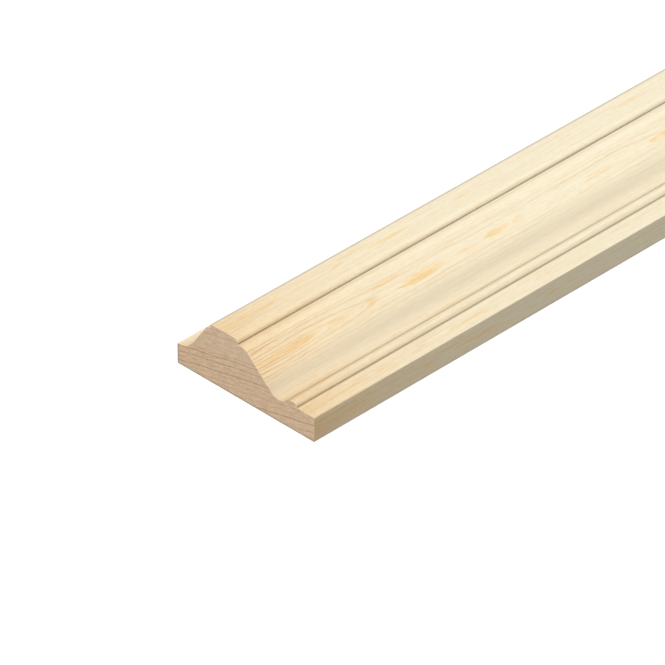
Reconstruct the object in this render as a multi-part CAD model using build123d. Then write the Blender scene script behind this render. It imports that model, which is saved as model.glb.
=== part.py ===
from build123d import *
import math
import os

# Cover moulding, one straight length of planed softwood lying on its flat back.
# X runs along the grain, -Y is the thick front edge, +Y the thin back edge, +Z is the moulded face.
# Every cross section is the same: flat, bead, cove, long slope, land, crown, step, short slope, flat.

# The stock
length = 2400.0  # the length it is sold in
width = 33.0  # front edge to back edge
height = 12.0  # back face to the top of the crown
arris_radius = 0.2  # the four long arrises, eased by sanding

# Front edge, flat and bead
front_edge = 5.0  # thickness of the front edge
front_flat = 4.15  # front edge to the bead
bead_height = 0.8  # bead above the front flat
bead_width = 2.05  # over the bead, to its sharp arris on the cove
bead_radius = 0.7  # rounding of the bead towards the front

# Cove and long slope
cove_floor = 4.5  # wood left under the cove
cove_radius = 2.6
hood_radius = 2.4  # rounding at the head of the long slope
land_width = 0.85  # flat between that rounding and the crown
land_drop = 1.0  # land below the crown

# Crown
crown_inset = 8.0  # back edge to the crown
crown_width = 6.65
crown_front_radius = 0.8
crown_back_radius = 0.5

# Back step, short slope and back edge
step_drop = 0.95  # step below the crown
step_width = 0.25
step_radius = 0.8  # rounding at the head of the short slope
back_cove_radius = 4.0
back_flat = 0.4
back_edge = 4.1  # thickness of the back edge


def tangent_slope(head, head_radius, foot, foot_radius):
    """Ends of the straight slope between a convex rounding and a cove.

    head and foot are the centres of the two circles. The line touches the first from above and the
    second from below, so its angle is the angle between the centres plus the angle whose sine is the
    sum of the radii over their distance.
    """
    across = head.X - foot.X
    side = math.copysign(1.0, across)
    apart = head - foot
    angle = math.atan2(apart.Y, abs(across)) + math.asin((head_radius + foot_radius) / apart.length)
    outward = Vector(-side * math.sin(angle), math.cos(angle))
    return head + outward * head_radius, foot - outward * foot_radius


def eased(radius, wall):
    """A rounding's radius, limited to nine tenths of the wall that it is cut on."""
    return min(radius, 0.9 * wall)


# The section's own places, across (Y) and up (Z) from the middle of the back face
front = -width / 2
back = width / 2
bead_front = front + front_flat
bead_top = front_edge + bead_height
bead_arris = bead_front + bead_width
cove_rise = bead_top - cove_floor
cove_middle = bead_arris + math.sqrt(cove_radius**2 - (cove_radius - cove_rise) ** 2)
crown_back = back - crown_inset
crown_front = crown_back - crown_width
land_top = height - land_drop
land_end = crown_front - land_width
step_top = height - step_drop
step_end = crown_back + step_width
flat_end = back - back_flat

slope_head, slope_foot = tangent_slope(
    Vector(land_end, land_top - hood_radius),
    hood_radius,
    Vector(cove_middle, cove_floor + cove_radius),
    cove_radius,
)
back_head, back_foot = tangent_slope(
    Vector(step_end, step_top - step_radius),
    step_radius,
    Vector(flat_end, back_edge + back_cove_radius),
    back_cove_radius,
)

with BuildPart() as cover_moulding:
    with BuildSketch(Plane.YZ) as section:
        with BuildLine():
            Polyline(
                (flat_end, back_edge),
                (back, back_edge),
                (back, 0),
                (front, 0),
                (front, front_edge),
                (bead_front, front_edge),
                (bead_front, bead_top),
                (bead_arris, bead_top),
            )
            ThreePointArc((bead_arris, bead_top), (cove_middle, cove_floor), slope_foot)
            Line(slope_foot, slope_head)
            RadiusArc(slope_head, (land_end, land_top), hood_radius)
            Polyline(
                (land_end, land_top),
                (crown_front, land_top),
                (crown_front, height),
                (crown_back, height),
                (crown_back, step_top),
                (step_end, step_top),
            )
            RadiusArc((step_end, step_top), back_head, step_radius)
            Line(back_head, back_foot)
            RadiusArc(back_foot, (flat_end, back_edge), -back_cove_radius)
        make_face()
        roundings = [
            (back, back_edge, arris_radius),
            (back, 0, arris_radius),
            (front, 0, arris_radius),
            (front, front_edge, arris_radius),
            (bead_front, bead_top, eased(bead_radius, bead_height)),
            (crown_front, height, eased(crown_front_radius, land_drop)),
            (crown_back, height, eased(crown_back_radius, step_drop)),
        ]
        for across, up, radius in roundings:
            corner = section.vertices().sort_by_distance(Vector(across, up))[0]
            fillet(corner, radius)
    extrude(amount=length / 2, both=True)

os.makedirs("parts", exist_ok=True)
export_step(cover_moulding.part, "parts/cover_moulding.step")
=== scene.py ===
import math
from functools import partial

import bpy
import numpy as np
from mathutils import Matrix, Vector


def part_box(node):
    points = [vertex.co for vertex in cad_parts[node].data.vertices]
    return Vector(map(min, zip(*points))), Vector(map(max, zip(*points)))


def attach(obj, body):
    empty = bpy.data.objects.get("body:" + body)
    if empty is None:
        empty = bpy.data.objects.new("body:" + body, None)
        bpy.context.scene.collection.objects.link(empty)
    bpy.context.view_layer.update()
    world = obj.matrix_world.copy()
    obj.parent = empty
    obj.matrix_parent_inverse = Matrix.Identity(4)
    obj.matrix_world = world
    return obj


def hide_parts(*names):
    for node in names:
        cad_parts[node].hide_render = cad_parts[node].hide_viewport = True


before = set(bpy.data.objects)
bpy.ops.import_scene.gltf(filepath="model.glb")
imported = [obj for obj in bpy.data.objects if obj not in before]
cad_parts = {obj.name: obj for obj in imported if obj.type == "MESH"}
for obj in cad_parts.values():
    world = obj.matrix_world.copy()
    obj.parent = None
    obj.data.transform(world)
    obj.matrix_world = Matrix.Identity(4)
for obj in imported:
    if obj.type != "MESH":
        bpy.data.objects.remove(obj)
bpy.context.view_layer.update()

# The moulding
# One length of pine, planed and run past a moulding cutter. From the thick front edge it has a flat, a
# bead, a cove, a long slope, a land, the raised crown, a step and a short slope to the thin back edge.
# It is nailed or glued over a joint by its flat back, and its ends are sawn square.

mm = 0.001
low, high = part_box("cover_moulding")
front, back, top = low.y, high.y, high.z
length = high.x - low.x
arris_round = 0.2 * mm  # long arrises, eased by sanding
sawn_arris = 0.05 * mm  # arris round the sawn ends

front_edge = 5.0 * mm  # thickness of the front edge
front_flat = 4.15 * mm  # front edge to the bead
bead_width = 2.05 * mm
bead_height = 0.8 * mm
bead_round = 0.7 * mm
bead_arris_round = 0.1 * mm  # the sharp side of the bead, on the cove

cove_floor = 4.5 * mm  # wood left under the cove
cove_round = 2.6 * mm
hood_round = 2.4 * mm  # rounding at the head of the long slope
land_width = 0.85 * mm
land_drop = 1.0 * mm  # land below the crown

crown_inset = 8.0 * mm  # back edge to the crown
crown_width = 6.65 * mm
crown_front_round = 0.8 * mm
crown_back_round = 0.5 * mm
step_drop = 0.95 * mm  # step below the crown
step_width = 0.25 * mm
step_round = 0.8 * mm
back_cove_round = 4.0 * mm
back_flat = 0.4 * mm
back_edge = 4.1 * mm  # thickness of the back edge

bead_front = front + front_flat
bead_arris = bead_front + bead_width
bead_top = front_edge + bead_height
cove_rise = bead_top - cove_floor
cove_middle = bead_arris + math.sqrt(cove_round**2 - (cove_round - cove_rise) ** 2)
crown_back = back - crown_inset
crown_front = crown_back - crown_width
land_top = top - land_drop
step_top = top - step_drop

# Each row is a circle that the outline runs round, from the foot of the back edge over the top to the
# foot of the front edge: its centre across and up, and its radius, negative in a hollow. Where the last
# value is above 0, the next face starts, and the value is how strongly that face shows the figure.
rounds = np.array(
    [
        (back - arris_round, arris_round, arris_round, 0.7),
        (back - arris_round, back_edge - arris_round, arris_round, 0.7),
        (back - back_flat, back_edge + back_cove_round, -back_cove_round, 0),
        (crown_back + step_width, step_top - step_round, step_round, 0),
        (crown_back, step_top, 0, 0.3),
        (crown_back - crown_back_round, top - crown_back_round, crown_back_round, 0.75),
        (crown_front + crown_front_round, top - crown_front_round, crown_front_round, 0.3),
        (crown_front, land_top, 0, 1.0),
        (crown_front - land_width, land_top - hood_round, hood_round, 0),
        (cove_middle, cove_floor + cove_round, -cove_round, 0.75),
        (bead_arris - bead_arris_round, bead_top - bead_arris_round, bead_arris_round, 0.6),
        (bead_front + bead_round, bead_top - bead_round, bead_round, 0),
        (bead_front, front_edge, 0, 0.8),
        (front + arris_round, front_edge - arris_round, arris_round, 0.9),
        (front + arris_round, arris_round, arris_round, 0.8),
    ]
)

# Painted shade along the outline: a place across and up, how far the shade reaches from it towards the back
# and towards the front, and how strong it is. The inner corners, called quirks, are painted dark as shade,
# and the land, the rounding of the bead and the front flat beside them get a little painted shade too.
painted_corner_shades = np.array(
    [
        (crown_front, land_top, 0.03 * mm, 0.26 * mm, 1.0),
        (crown_front - 0.75 * mm, land_top, 0.45 * mm, 0.4 * mm, 0.16),
        (bead_front + 0.35 * mm, bead_top, 0.25 * mm, 0.25 * mm, 0.06),
        (bead_front, front_edge, 0.35 * mm, 0.2 * mm, 0.64),
        (bead_front, front_edge, 0.12 * mm, 4.0 * mm, 0.07),
    ]
)
# The rise from the cove to the bead and the bead's sharp arris are painted brown as shade
painted_rise_shade = np.array(
    [
        (bead_arris + 0.43 * mm, bead_top - 0.56 * mm, 0.75 * mm, 1.05 * mm, 0.4),
        (bead_arris - 0.18 * mm, bead_top, 0.24 * mm, 0.24 * mm, 0.5),
    ]
)
# Painted grey shade at the foot of the long slope, on the front of the bead and on the back arris of the
# crown
painted_grey_shade = np.array(
    [
        (crown_back - 0.45 * mm, top, 0.5 * mm, 0.25 * mm, 0.8),
        (cove_middle + 1.88 * mm, cove_floor + 0.79 * mm, 2.15 * mm, 2.8 * mm, 0.54),
        (bead_front + 0.2 * mm, bead_top - 0.2 * mm, 0.35 * mm, 0.4 * mm, 0.3),
    ]
)


def belt(rounds, steps):
    """Outline laid round a row of circles like a belt, as an array of circles by steps by (across, up).

    The straight run from one circle to the next has the angle of the line between their centres plus
    the arcsine of the difference of their radii over that line's length, so it touches both. On a
    circle the outline is the centre plus the radius times (sin a, -cos a), while a turns from the
    angle of the run that comes in to the angle of the run that leaves.
    """
    centres = rounds[:, :2]
    radii = rounds[:, 2]
    apart = np.roll(centres, -1, axis=0) - centres
    ratio = (radii - np.roll(radii, -1)) / np.hypot(*apart.T)
    leaving = np.arctan2(apart[:, 1], apart[:, 0]) + np.arcsin(np.clip(ratio, -1, 1))
    coming = np.roll(leaving, 1)
    turn = (leaving - coming + np.pi) % (2 * np.pi) - np.pi
    a = coming[:, None] + turn[:, None] * np.linspace(0, 1, steps)
    return centres[:, None] + radii[:, None, None] * np.stack([np.sin(a), -np.cos(a)], axis=-1)


def even_out(outline, fine, coarse, fine_above):
    """The closed outline with each edge cut into equal parts, none of them longer than fine where the
    edge lies above a height, or than coarse where it lies below it."""
    edges = np.roll(outline, -1, axis=0) - outline
    longest = np.where(outline[:, 1] + edges[:, 1] / 2 > fine_above, fine, coarse)
    parts = np.ceil(np.hypot(*edges.T) / longest).astype(int)
    first = np.concatenate([[0], np.cumsum(parts)[:-1]])
    share = (np.arange(parts.sum()) - np.repeat(first, parts)) / np.repeat(parts, parts)
    return np.repeat(outline, parts, axis=0) + share[:, None] * np.repeat(edges, parts, axis=0)


def tone_along(outline, girth, places):
    """Tone of each point of the outline: one less the product, over all places, of one less the
    place's strength times exp(-(d / reach)^2), with d the distance along the outline."""
    distance = np.hypot(outline[None, :, 0] - places[:, :1], outline[None, :, 1] - places[:, 1:2])
    d = girth[:-1] - girth[np.argmin(distance, axis=1)][:, None]
    reach = np.where(d < 0, places[:, 2:3], places[:, 3:4])
    return 1 - np.prod(1 - places[:, 4:] * np.exp(-((d / reach) ** 2)), axis=0)


def swept_stock(name, rounds, tones, stations, arris, figure_half, strips):
    """Closed mesh of a section carried along X, a function of station and place on the outline.

    A point is (station, across, up), and on the first and last station the outline is drawn in by the
    arris along its own normals. The UV map called figure holds, in millimetres, the distance from the
    near end and the place across each face, scaled so that every face runs from -figure_half to
    figure_half. The attribute called shown holds how strongly a face shows the figure, and each of the
    tones is an attribute of its own name. The UV map called OFBake cuts the stock into strips of
    length / strips by the way round the section and lays them over each other, with the two ends on top.
    """
    arc_steps = 13  # points on each rounding
    shortest = 0.002 * mm  # points of the outline closer than this are one
    fine = 0.15 * mm  # longest edge of the outline on the moulded face
    coarse = 0.8 * mm  # and on the back and the two edges
    moulded_above = 4.0 * mm
    crisp_from = math.radians(28)  # the angle from which a fold stays crisp

    laid = belt(rounds, arc_steps)
    starting = rounds[:, 3] > 0
    flat = laid.reshape(-1, 2)
    apart = np.hypot(*(np.roll(flat, -1, axis=0) - flat).T) > shortest
    outline = even_out(flat[apart], fine, coarse, moulded_above)
    count = len(outline)
    edges = np.roll(outline, -1, axis=0) - outline
    girth = np.concatenate([[0], np.cumsum(np.hypot(*edges.T))])

    edges /= np.hypot(*edges.T)[:, None]
    inward = np.roll(edges, 1, axis=0) + edges
    inward = np.column_stack([-inward[:, 1], inward[:, 0]]) / np.hypot(*inward.T)[:, None]
    drawn_in = np.zeros(len(stations))
    drawn_in[[0, -1]] = arris
    points = np.empty((len(stations), count, 3))
    points[..., 0] = stations[:, None]
    points[..., 1:] = outline + drawn_in[:, None, None] * inward

    here = np.arange(count)
    there = np.roll(here, -1)
    row = count * np.arange(len(stations) - 1)[:, None]
    quads = np.stack([row + here, row + there, row + count + there, row + count + here], axis=-1)
    caps = [here[::-1].tolist(), (here + count * (len(stations) - 1)).tolist()]
    mesh = bpy.data.meshes.new(name)
    mesh.from_pydata(points.reshape(-1, 3), [], quads.reshape(-1, 4).tolist() + caps)

    def lay(layer_name, near, far, lower, upper, caps):
        """A UV map: the quads between stations run from near to far and from lower to upper."""
        corners = np.empty((len(stations) - 1, count, 4, 2))
        corners[..., 0] = np.stack([near, near, far, far], axis=-1)[:, None]
        corners[..., 1] = np.stack([lower, upper, upper, lower], axis=-1)
        layer = mesh.uv_layers.new(name=layer_name)
        layer.uv.foreach_set("vector", np.concatenate([corners.reshape(-1, 2), caps]).ravel())

    starts = np.array([girth[np.argmin(np.hypot(*(outline - corner).T))] for corner in laid[starting, 0]])
    face = np.searchsorted(starts, (girth[:-1] + girth[1:]) / 2, side="right") - 1
    width = np.diff(np.append(starts, girth[-1]))[face]
    lower = figure_half * (2 * (girth[:-1] - starts[face]) / width - 1)
    upper = figure_half * (2 * (girth[1:] - starts[face]) / width - 1)
    run = (stations - stations[0]) / mm
    lay("figure", run[:-1], run[1:], lower, upper, np.zeros((2 * count, 2)))

    # The quads of the arris at either end lie with the strip beside them
    margin = 0.01  # of the map's width, left free round every strip
    strip_length = (stations[-1] - stations[0]) / strips
    span = strip_length / (1 - 2 * margin)
    strip = np.clip((np.arange(len(stations) - 1) - 1) * strips // (len(stations) - 3), 0, strips - 1)
    shift = margin - (stations[0] + strip * strip_length) / span
    pitch = girth[-1] / span + margin
    foot = (margin + strip * pitch)[:, None]
    ends = (outline - outline.min(axis=0)) / span + (margin, margin + strips * pitch)
    beside = (np.ptp(outline[:, 0]) / span + margin, 0)
    lay(
        "OFBake",
        stations[:-1] / span + shift,
        stations[1:] / span + shift,
        foot + girth[:-1] / span,
        foot + girth[1:] / span,
        np.concatenate([ends[::-1], ends + beside]),
    )

    strengths = np.tile(rounds[starting, 3][face], len(stations) - 1)
    shown = mesh.attributes.new("shown", "FLOAT", "FACE")
    shown.data.foreach_set("value", np.append(strengths, [0, 0]))
    for tone_name, places in tones.items():
        tone = mesh.attributes.new(tone_name, "FLOAT", "POINT")
        tone.data.foreach_set("value", np.tile(tone_along(outline, girth, places), len(stations)))

    piece = bpy.data.objects.new(name, mesh)
    bpy.context.scene.collection.objects.link(piece)
    smooth = np.ones(len(mesh.polygons), bool)
    smooth[-2:] = False  # the two sawn ends
    mesh.polygons.foreach_set("use_smooth", smooth)
    mesh.set_sharp_from_angle(angle=crisp_from)
    return piece


strips = 5
strip_parts = 20  # lengths that each strip is cut into
figure_half = 4.8  # half the width in mm of the long slope, the widest face that shows the figure
inner = np.linspace(low.x + sawn_arris, high.x - sawn_arris, strip_parts * strips + 1)
stations = np.concatenate([[low.x], inner, [high.x]])
# The three tones are painted shade
tones = {"painted_corner_shade": painted_corner_shades, "painted_rise_shade": painted_rise_shade, "painted_grey_shade": painted_grey_shade}
moulding = swept_stock("moulding", rounds, tones, stations, sawn_arris, figure_half, strips)


def linear(hex_colour):
    """The RGBA value of an sRGB hex colour, each channel turned linear by the sRGB curve."""
    channels = np.array([int(hex_colour[i : i + 2], 16) for i in (0, 2, 4)]) / 255
    bent = np.where(channels <= 0.04045, channels / 12.92, ((channels + 0.055) / 1.055) ** 2.4)
    return (*bent, 1.0)


def add_node(tree, kind, inputs, output=0, **settings):
    """Adds a shader node with its settings and returns one of its outputs, if it has any.

    The inputs are a list, from the node's first input on, or a dict by name or number. Each gets a
    value, or a link from another node's output. The list of a MapRange is the value, the two ends that
    it is read between, and what it becomes at each. A Mix of colours goes from input 6 to input 7, or to
    their product, as input 0 goes from 0 to 1, and comes out of output 2.
    """
    node = tree.nodes.new("ShaderNode" + kind)
    for name, value in settings.items():
        setattr(node, name, value)
    for name, value in inputs.items() if isinstance(inputs, dict) else enumerate(inputs):
        if isinstance(value, bpy.types.NodeSocket):
            tree.links.new(value, node.inputs[name])
        else:
            node.inputs[name].default_value = value
    return node.outputs[output] if node.outputs else None


def late_wood(node, ring, rows, half_width):
    """Thin lines of late wood, made with the material's own node function: each (radius, strength) adds
    strength times a smooth fall from 1 at the radius to 0 at the half width on either side of it."""
    lines = 0.0
    for radius, strength in rows:
        off = node("Math", [ring, radius], operation="SUBTRACT")
        off = node("Math", [off], operation="ABSOLUTE")
        line = node("MapRange", [off, 0.0, half_width, strength, 0.0], interpolation_type="SMOOTHSTEP")
        lines = node("Math", [line, lines], operation="ADD")
    return lines


# Lines of late wood on the moulded faces: distance from the pith in mm, and strength
face_rings = [
    (0.47, 0.6),
    (0.88, 0.6),
    (1.43, 0.85),
    (2.21, 0.8),
    (2.68, 0.6),
    (3.35, 0.3),
    (3.9, 0.35),
    (4.6, 0.3),
    (5.1, 0.3),
]

# Patches where the cutter grazes a layer of late wood: distance from the near end, place across the
# face, half length and half height in mm, and strength
patches = [
    (6.0, -0.05, 6.5, 0.7, 0.6),
    (9.6, -0.1, 5.2, 0.75, 0.8),
    (19.2, 0.1, 3.2, 0.6, 0.45),
    (27.6, 0.0, 1.8, 0.75, 0.65),
    (32.6, -1.75, 4.2, 0.45, 0.6),
    (39.8, 0.3, 6.2, 0.95, 1.0),
    (51.2, 0.6, 2.6, 0.55, 0.55),
    (58.3, 0.05, 2.8, 0.75, 1.0),
    (63.0, -0.05, 1.8, 0.6, 0.6),
    (84.0, 0.1, 5.5, 0.6, 0.5),
    (101.0, -0.2, 5.0, 0.7, 0.85),
]
patch_period = 112.0  # mm from a patch to where it comes again


def planed_pine():
    """Planed pine: pale cream wood with fine fibre, thin brown lines of late wood that run with the
    grain and meet in long arches, and orange patches where a layer of late wood lies at the surface."""
    material = bpy.data.materials.new("planed_pine")
    material.use_nodes = True
    tree = material.node_tree
    shader = tree.nodes["Principled BSDF"]
    node = partial(add_node, tree)

    # Fibre: streaks 0.35 mm apart and about 12 mm long, with finer ones in them, and short pores 0.3 mm
    # by 1.5 mm, all drawn a little coarser than in real pine so that they show
    fibre_length, fibre_width = 12 * mm, 0.35 * mm
    pore_length, pore_width = 1.5 * mm, 0.3 * mm
    solid = node("TexCoord", [], "Object")
    fibre = node("Mapping", {"Vector": solid, "Scale": (1 / fibre_length, 1 / fibre_width, 1 / fibre_width)})
    fibre = node("TexNoise", {"Vector": fibre, "Scale": 1.0, "Detail": 4.0, "Roughness": 0.75}, "Fac")
    pores = node("Mapping", {"Vector": solid, "Scale": (1 / pore_length, 1 / pore_width, 1 / pore_width)})
    pores = node("TexNoise", {"Vector": pores, "Scale": 1.0, "Detail": 1.0}, "Fac")
    pores = node("Math", [pores, 0.5], operation="SUBTRACT")
    fibre = node("Math", [pores, 0.5, fibre], operation="MULTIPLY_ADD")
    fibre = node("MapRange", [fibre, 0.3, 0.7, 0.0, 1.0])

    # The figure wanders a little, by up to 1 mm along and 0.3 mm across, in waves 22 mm long and 3 mm
    # wide with finer ones in them. What is taken off the waves sets the figure over the middle of the
    # faces
    wave_length, wave_width = 22, 3
    wave_middle = (0.5, 0.69, 0.5)
    wave_height = (5.0, 1.2, 0.0)
    figure = node("UVMap", [], uv_map="figure")
    waves = node("Mapping", {"Vector": figure, "Scale": (1 / wave_length, 1 / wave_width, 1)})
    waves = {"Vector": waves, "Scale": 1.0, "Detail": 4.0, "Roughness": 0.6}
    waves = node("TexNoise", waves, "Color", noise_dimensions="2D")
    faint = waves.node.outputs["Fac"]
    waves = node("VectorMath", [waves, wave_middle], operation="SUBTRACT")
    wandered = node("VectorMath", [waves, wave_height, figure], operation="MULTIPLY_ADD")
    along, across, _ = node("SeparateXYZ", [wandered]).node.outputs

    # The wood has yellowed more near its sawn ends, exp(-distance / 26 mm), and less under the painted grey
    # shade and on the back slope
    yellow_reach = 26
    aged = node("Math", [length / mm, along], operation="SUBTRACT")
    aged = node("Math", [aged, along], operation="MINIMUM")
    aged = node("Math", [aged, -1 / yellow_reach], operation="MULTIPLY")
    aged = node("Math", [aged], operation="EXPONENT")
    grey_shade = node("Attribute", [], "Fac", attribute_name="painted_grey_shade")
    turned_away = node("SeparateXYZ", [solid], "Y")
    turned_away = node("MapRange", [turned_away, 8.0 * mm, 10.0 * mm, 1.0, 0.65])
    yellowing = node("Math", [aged, node("MapRange", [grey_shade, 0.0, 1.0, 1.0, 0.6])], operation="MULTIPLY")
    yellowing = node("Math", [yellowing, turned_away], operation="MULTIPLY")

    # The pith sinks from 0.2 mm under the faces, 8 mm from the near end, to 1.64 mm, 32 mm from it. From
    # 78 mm on it swings to and fro in waves of 75 mm, more and more up to 150 mm
    swing_length = 75
    swing = node("Math", [along, 1 / swing_length], operation="MULTIPLY")
    swing = node("TexNoise", {"W": swing, "Scale": 1.0, "Detail": 1.0}, "Fac", noise_dimensions="1D")
    swing = node("Math", [swing, 0.45], operation="SUBTRACT")
    swings = node("MapRange", [along, 78.0, 150.0, 0.0, 6.5])
    sinks = node("MapRange", [along, 8.0, 32.0, 0.2, 1.64])
    depth = node("Math", [swing, swings, sinks], operation="MULTIPLY_ADD")
    ring = node("CombineXYZ", [across, depth])
    ring = node("VectorMath", [ring], "Value", operation="LENGTH")

    # The lines fade where they turn over the middle of a face and here and there along them, and they
    # are wider and stronger where the end has dried
    line_half_width = node("MapRange", [aged, 0.4, 0.9, 0.13, 0.2])
    lines = late_wood(node, ring, face_rings, line_half_width)
    off_middle = node("Math", [across], operation="ABSOLUTE")
    off_middle = node("Math", [off_middle, ring], operation="DIVIDE")
    lines = node("Math", [lines, node("MapRange", [off_middle, 0.0, 0.6, 0.3, 1.0])], operation="MULTIPLY")
    lines = node("Math", [lines, node("MapRange", [faint, 0.3, 0.6, 0.35, 1.0])], operation="MULTIPLY")
    dried = node("Math", [aged, 4.3], operation="POWER")
    dried = node("Math", [dried, 0.35, 0.8], operation="MULTIPLY_ADD")
    lines = node("Math", [lines, dried], operation="MULTIPLY")

    # Each patch is a lens, at full strength over two thirds of its size and gone at its rim, where it
    # ends in streaks up to 1.7 mm long. The patches come again along the stock, and from 90 mm on they
    # are shifted with the swing, so that they lie in other places each time
    streak_reach = 1.7
    streaked = node("Math", [fibre, 2 * streak_reach, -streak_reach], operation="MULTIPLY_ADD")
    streaked = node("CombineXYZ", [streaked])
    shift = node("MapRange", [along, 90.0, 160.0, 0.0, 24.0])
    shift = node("Math", [swing, shift], operation="MULTIPLY")
    shifted = node("CombineXYZ", [shift, node("Math", [shift, 0.1], operation="MULTIPLY")])
    shifted = node("VectorMath", [shifted, wandered], operation="ADD")
    shifted = node("VectorMath", [shifted, streaked], operation="ADD")
    highest, lowest = (patch_period, figure_half, 1.0), (0.0, -figure_half, 0.0)
    repeated = node("VectorMath", [shifted, highest, lowest], operation="WRAP")
    flame = 0.0
    for place, lane, half_length, half_height, strength in patches:
        lens = {"Vector": repeated, "Location": (place, lane, 0), "Scale": (half_length, half_height, 1)}
        lens = node("Mapping", lens, vector_type="TEXTURE")
        lens = node("TexGradient", [lens], "Fac", gradient_type="SPHERICAL")
        lens = node("MapRange", [lens, 0.04, 0.36, 0.0, strength], interpolation_type="SMOOTHSTEP")
        flame = node("Math", [lens, flame], operation="MAXIMUM")
    flame = node("Math", [flame, node("MapRange", [fibre, 0.2, 0.7, 0.65, 1.0])], operation="MULTIPLY")

    product = {"data_type": "RGBA", "blend_type": "MULTIPLY"}
    pale = node("Mix", {0: fibre, 6: linear("FDF4DB"), 7: linear("F4E7C7")}, 2, data_type="RGBA")
    yellowed = node("Mix", {0: fibre, 6: linear("F9E1B9"), 7: linear("ECCFA1")}, 2, data_type="RGBA")
    colour = node("Mix", {0: yellowing, 6: pale, 7: yellowed}, 2, data_type="RGBA")
    shown = node("Attribute", [], "Fac", attribute_name="shown")
    lines = node("Math", [lines, shown], operation="MULTIPLY", use_clamp=True)
    line_tint = node("MapRange", [aged, 0.5, 0.9, 0.0, 1.0])
    line_tint = node("Mix", {0: line_tint, 6: linear("F3DEC2"), 7: linear("E2C8AA")}, 2, data_type="RGBA")
    colour = node("Mix", {0: lines, 6: colour, 7: line_tint}, 2, **product)
    flame = node("Math", [flame, shown], operation="MULTIPLY")
    colour = node("Mix", {0: flame, 6: colour, 7: linear("FFEDCC")}, 2, **product)
    # Painted shade, grey at the foot of the long slope, on the front of the bead and on the crown's back
    # arris
    colour = node("Mix", {0: grey_shade, 6: colour, 7: linear("C9BCA3")}, 2, data_type="RGBA")
    # Painted shade, dark in the inner corners and a little on the faces beside them
    painted_corner_shade = node("Attribute", [], "Fac", attribute_name="painted_corner_shade")
    colour = node("Mix", {0: painted_corner_shade, 6: colour, 7: linear("8A8279")}, 2, **product)
    # Painted shade, brown on the rise from the cove to the bead and on the bead's arris
    rise_shade = node("Attribute", [], "Fac", attribute_name="painted_rise_shade")
    colour = node("Mix", {0: rise_shade, 6: colour, 7: linear("9C8C7A")}, 2, **product)
    tree.links.new(colour, shader.inputs["Base Color"])

    # Fibre stands out of the planed face by 0.06 mm at most, and the sheen is dull
    raised = node("Bump", {"Height": fibre, "Strength": 0.25, "Distance": 0.06 * mm})
    tree.links.new(raised, shader.inputs["Normal"])
    tree.links.new(node("MapRange", [fibre, 0.0, 1.0, 0.55, 0.65]), shader.inputs["Roughness"])
    shader.inputs["Specular IOR Level"].default_value = 0.3
    return material


# Rings on the sawn ends: height in mm above the foot of the stock's middle, and strength
end_rings = [
    (-3.0, 0.5),
    (-1.75, 0.6),
    (-0.3, 0.9),
    (0.8, 0.3),
    (1.85, 0.45),
    (2.7, 0.35),
    (3.6, 0.3),
    (4.4, 1.0),
    (5.3, 0.25),
    (6.15, 0.85),
    (7.3, 0.9),
    (8.0, 0.5),
    (9.2, 0.2),
    (10.3, 0.25),
    (11.55, 0.6),
    (12.7, 0.7),
]
ring_rise = math.radians(12.6)
ring_half_width = 0.2


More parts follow.
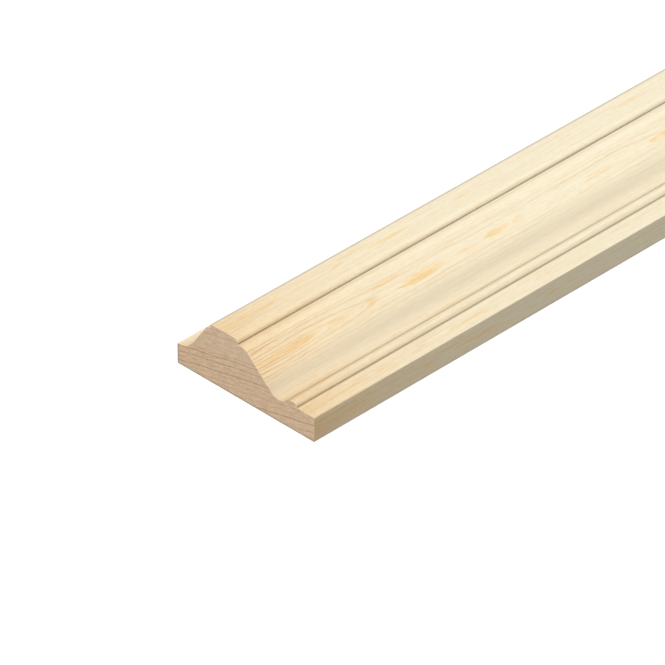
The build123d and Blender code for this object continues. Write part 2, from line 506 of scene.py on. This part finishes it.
def sawn_end_grain():
    """Sawn end grain: tan, darker than the faces because the cut fibres take up the light, with thin
    brown rings that rise towards the front edge, fine streaks and specks that follow them, a lighter
    crown, and painted shade that greys a rim along the foot and the back."""
    material = bpy.data.materials.new("sawn_end_grain")
    material.use_nodes = True
    tree = material.node_tree
    shader = tree.nodes["Principled BSDF"]
    node = partial(add_node, tree)

    # The rings wobble by up to 0.2 mm, in waves 8 mm long
    solid = node("TexCoord", [], "Object")
    tilted = {"Vector": solid, "Rotation": (ring_rise, 0, 0), "Scale": (1 / mm, 1 / mm, 1 / mm)}
    tilted = node("Mapping", tilted)
    height = node("SeparateXYZ", [tilted], "Z")
    wobble = node("TexNoise", {"Vector": tilted, "Scale": 0.12, "Detail": 3.0}, "Fac")
    wobble = node("Math", [wobble, 0.5], operation="SUBTRACT")
    ring = node("Math", [wobble, 0.8, height], operation="MULTIPLY_ADD")

    # Streaks 2 mm long and 0.25 mm high with finer ones in them, specks of 0.7 mm by 0.3 mm, and warmer
    # and greyer clouds of 1.7 mm by 0.6 mm
    streak = node("Mapping", {"Vector": tilted, "Scale": (1, 1 / 2, 1 / 0.25)})
    streak = node("TexNoise", {"Vector": streak, "Scale": 1.0, "Detail": 4.0, "Roughness": 0.8}, "Fac")
    streak = node("MapRange", [streak, 0.37, 0.63, 0.0, 1.0])
    specks = node("Mapping", {"Vector": tilted, "Scale": (1, 1 / 0.7, 1 / 0.3)})
    specks = node("TexNoise", {"Vector": specks, "Scale": 1.0, "Detail": 2.0}, "Fac")
    specks = node("Math", [specks, 0.5], operation="SUBTRACT")
    streak = node("Math", [specks, 1.2, streak], operation="MULTIPLY_ADD")
    cloud = node("Mapping", {"Vector": tilted, "Scale": (1, 0.6, 1.6)})
    cloud = node("TexNoise", {"Vector": cloud, "Scale": 1.0, "Detail": 3.0}, "Fac")
    cloud = node("MapRange", [cloud, 0.35, 0.65, 0.0, 1.0])

    colour = node("Mix", {0: streak, 6: linear("EED3B3"), 7: linear("C8A887")}, 2, data_type="RGBA")
    clouded = node("Mix", {0: cloud, 6: linear("C9B7A3"), 7: linear("DFBA94")}, 2, data_type="RGBA")
    colour = node("Mix", {0: 0.3, 6: colour, 7: clouded}, 2, data_type="RGBA")
    lines = late_wood(node, ring, end_rings, ring_half_width)
    clear = node("MapRange", [cloud, 0.0, 1.0, 0.5, 0.95])
    lines = node("Math", [lines, clear], operation="MULTIPLY", use_clamp=True)
    colour = node("Mix", {0: lines, 6: colour, 7: linear("B08459")}, 2, data_type="RGBA")

    # The crown is lighter from 5 mm up, and the rim within 0.5 mm of the foot and the back is greyed with
    # painted shade
    _, place_across, place_up = node("SeparateXYZ", [solid]).node.outputs
    lighter = node("MapRange", [place_up, 5.0 * mm, 9.0 * mm, 0.0, 0.2])
    colour = node("Mix", {0: lighter, 6: colour, 7: linear("E0CBB4")}, 2, data_type="RGBA")
    from_back = node("Math", [back, place_across], operation="SUBTRACT")
    painted_rim_shade = node("Math", [place_up, from_back], operation="MINIMUM")
    painted_rim_shade = node("MapRange", [painted_rim_shade, 0.1 * mm, 0.5 * mm, 0.75, 0.0], interpolation_type="SMOOTHSTEP")
    colour = node("Mix", {0: painted_rim_shade, 6: colour, 7: linear("968D82")}, 2, data_type="RGBA")
    tree.links.new(colour, shader.inputs["Base Color"])

    raised = node("Bump", {"Height": streak, "Strength": 0.3, "Distance": 0.1 * mm})
    tree.links.new(raised, shader.inputs["Normal"])
    shader.inputs["Roughness"].default_value = 0.85
    shader.inputs["Specular IOR Level"].default_value = 0.2
    return material


# The end grain shows on the two sawn ends and on the arris round them
moulding.data.materials.append(planed_pine())
moulding.data.materials.append(sawn_end_grain())
centres = np.empty(3 * len(moulding.data.polygons), np.float32)
moulding.data.polygons.foreach_get("center", centres)
on_end = np.abs(centres[::3]) > inner[-1]
moulding.data.polygons.foreach_set("material_index", on_end.astype(np.int32))
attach(moulding, "root")
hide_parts("cover_moulding")

# The studio
# A plain white floor, one large soft lamp above the front left and a white surround, with the camera
# at the photograph's angle.

floor_half = 6.0
floor_corners = [
    (-floor_half, -floor_half, 0),
    (floor_half, -floor_half, 0),
    (floor_half, floor_half, 0),
    (-floor_half, floor_half, 0),
]
floor_mesh = bpy.data.meshes.new("floor")
floor_mesh.from_pydata(floor_corners, [], [(0, 1, 2, 3)])
floor = bpy.data.objects.new("floor", floor_mesh)
bpy.context.scene.collection.objects.link(floor)


def seen_rays(tree):
    """1 for what the camera sees straight, in gloss or through glass, 0 for light that fills the scene."""
    rays = add_node(tree, "LightPath", []).node.outputs
    seen = add_node(tree, "Math", [rays["Is Camera Ray"], rays["Is Glossy Ray"]], operation="MAXIMUM")
    return add_node(tree, "Math", [seen, rays["Is Transmission Ray"]], operation="MAXIMUM")


def white_paper():
    """White paper floor. The camera and gloss see it white; less of its light reaches the wood, and that
    a little warmer."""
    material = bpy.data.materials.new("white_paper")
    material.use_nodes = True
    tree = material.node_tree
    tree.nodes.clear()
    node = partial(add_node, tree)
    paper = node("BsdfDiffuse", {"Color": linear("F3F3F3")})
    glow = node("Emission", {"Color": linear("FFFFFF"), "Strength": 0.15})
    bright = node("AddShader", [paper, glow])
    quiet = node("BsdfDiffuse", {"Color": linear("635F57")})
    node("OutputMaterial", {"Surface": node("MixShader", [seen_rays(tree), quiet, bright])})
    return material


floor_mesh.materials.append(white_paper())

# White where the camera sees it, and weak as light on the wood
world = bpy.data.worlds.new("white_surround")
bpy.context.scene.world = world
world.use_nodes = True
world.node_tree.nodes.clear()
node = partial(add_node, world.node_tree)
ambient = node("Background", {"Color": linear("FFFFFF"), "Strength": 0.15})
surround = node("Background", {"Color": linear("FFFFFF"), "Strength": 1.0})
node("OutputWorld", {"Surface": node("MixShader", [seen_rays(world.node_tree), ambient, surround])})

# At an energy of pi, a face turned straight to the lamp shows its own colour
lamp_data = bpy.data.lights.new("soft_lamp", "SUN")
lamp_data.energy = 1.12 * math.pi
lamp_data.angle = math.radians(24)
lamp = bpy.data.objects.new("soft_lamp", lamp_data)
bpy.context.scene.collection.objects.link(lamp)
to_lamp = Vector((-0.6, -0.27, 0.755))
lamp.rotation_euler = to_lamp.to_track_quat("Z", "Y").to_euler()

# The camera looks at a point beside and above the foot of the near end's middle, as far from it in the
# picture as the photograph's centre is
azimuth = math.radians(-45.025)
elevation = math.radians(34.789)
distance = 1265.23 * mm
beside_end = 14.757 * mm
above_end = 11.797 * mm
picture_width = 36.0  # of the camera's film, in mm, as the focal length is
focal_length = 404.6
level = math.cos(elevation)
backward = Vector((math.sin(azimuth) * level, -math.cos(azimuth) * level, math.sin(elevation)))
right = Vector((math.cos(azimuth), math.sin(azimuth), 0))
up = backward.cross(right)
aim = Vector((low.x, 0, 0)) + beside_end * right + above_end * up
camera_data = bpy.data.cameras.new("camera")
camera_data.sensor_width = picture_width
camera_data.lens = focal_length
camera_data.clip_end = 100
camera = bpy.data.objects.new("camera", camera_data)
bpy.context.scene.collection.objects.link(camera)
camera.location = aim + distance * backward
camera.rotation_euler = backward.to_track_quat("Z", "Y").to_euler()
bpy.context.scene.camera = camera

bpy.context.scene.view_settings.view_transform = "Standard"
